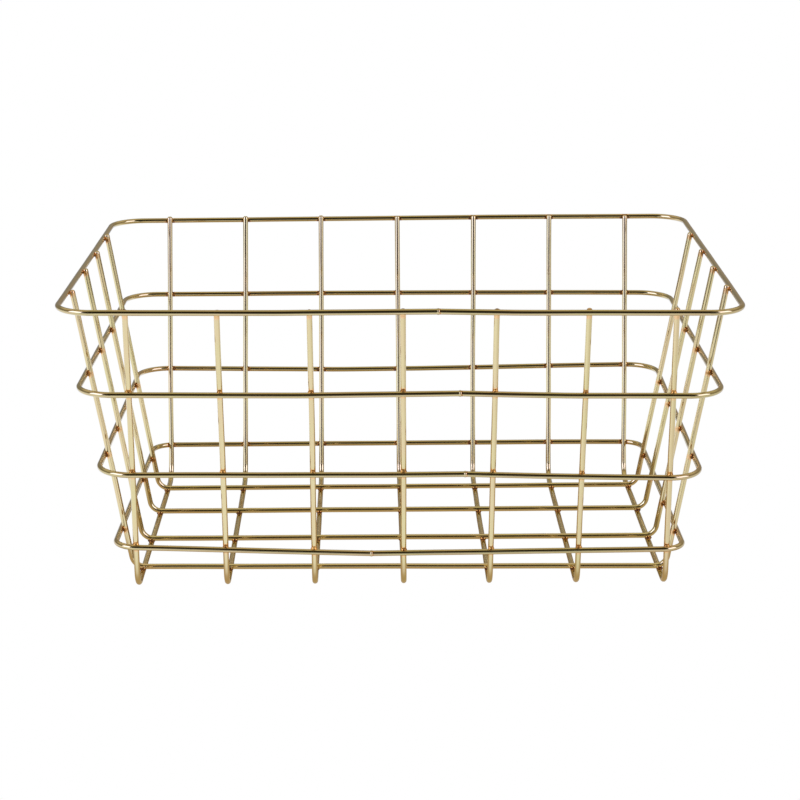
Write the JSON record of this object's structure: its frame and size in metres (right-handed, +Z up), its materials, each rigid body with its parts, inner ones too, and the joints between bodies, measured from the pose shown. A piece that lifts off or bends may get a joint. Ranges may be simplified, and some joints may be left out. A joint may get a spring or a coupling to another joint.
{
  "type": "wire locker basket",
  "caption": "Open rectangular basket of welded round wire, flaring out from a flat mesh floor to a closed hoop at the rim, for storing things in a locker or on a shelf.",
  "frame": {"origin": "on the ground, below the middle of the basket: the middle of the bounding box's bottom face", "axes": "+X to the right along the basket's length, +Y from the front wall to the back wall, +Z up; the front is the long wall with the hoops' butt welds"},
  "size_m": [0.3782, 0.2689, 0.1742],
  "materials": {
    "plated_wire": "bright brass-coloured plating over steel wire",
    "weld_metal": "plated over, with a reddish brown heat tint"
  },
  "bodies": {
    "root": {"rim_hoop": "plated_wire", "upper_hoop": "plated_wire", "lower_hoop": "plated_wire", "base_hoop": "plated_wire", "cross_wire_1": "plated_wire", "cross_wire_2": "plated_wire", "cross_wire_3": "plated_wire", "cross_wire_4": "plated_wire", "cross_wire_5": "plated_wire", "cross_wire_6": "plated_wire", "cross_wire_7": "plated_wire", "long_wire_1": "plated_wire", "long_wire_2": "plated_wire", "long_wire_3": "plated_wire", "long_wire_4": "plated_wire", "rim_hoop_welds": "weld_metal", "upper_hoop_welds": "weld_metal", "lower_hoop_welds": "weld_metal", "base_hoop_welds": "weld_metal", "floor_welds": "weld_metal"}
  },
  "joints": []
}
